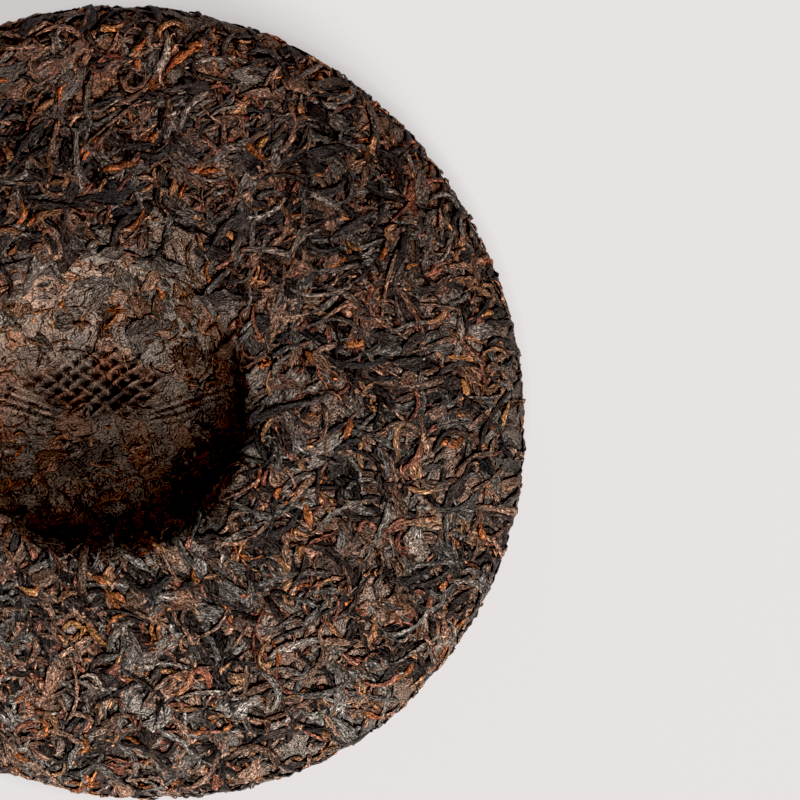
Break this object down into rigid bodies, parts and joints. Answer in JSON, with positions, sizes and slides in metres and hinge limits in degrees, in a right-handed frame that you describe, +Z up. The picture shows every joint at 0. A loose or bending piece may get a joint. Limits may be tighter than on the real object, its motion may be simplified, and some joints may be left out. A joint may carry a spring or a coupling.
{
  "type": "pressed tea cake",
  "caption": "Round cake of pressed dark tea leaves with a rounded rim, lying with the round hollow of its underside up.",
  "frame": {"origin": "under the middle of the cake's bounding box, on the surface it lies on", "axes": "+Z up through the cake's thickness, out of its hollow; +X to the picture's right, +Y to the picture's top"},
  "size_m": [0.1994, 0.1972, 0.0246],
  "materials": {
    "dried_leaf": "matte"
  },
  "bodies": {
    "root": {"tea_cake": "dried_leaf"}
  },
  "joints": []
}
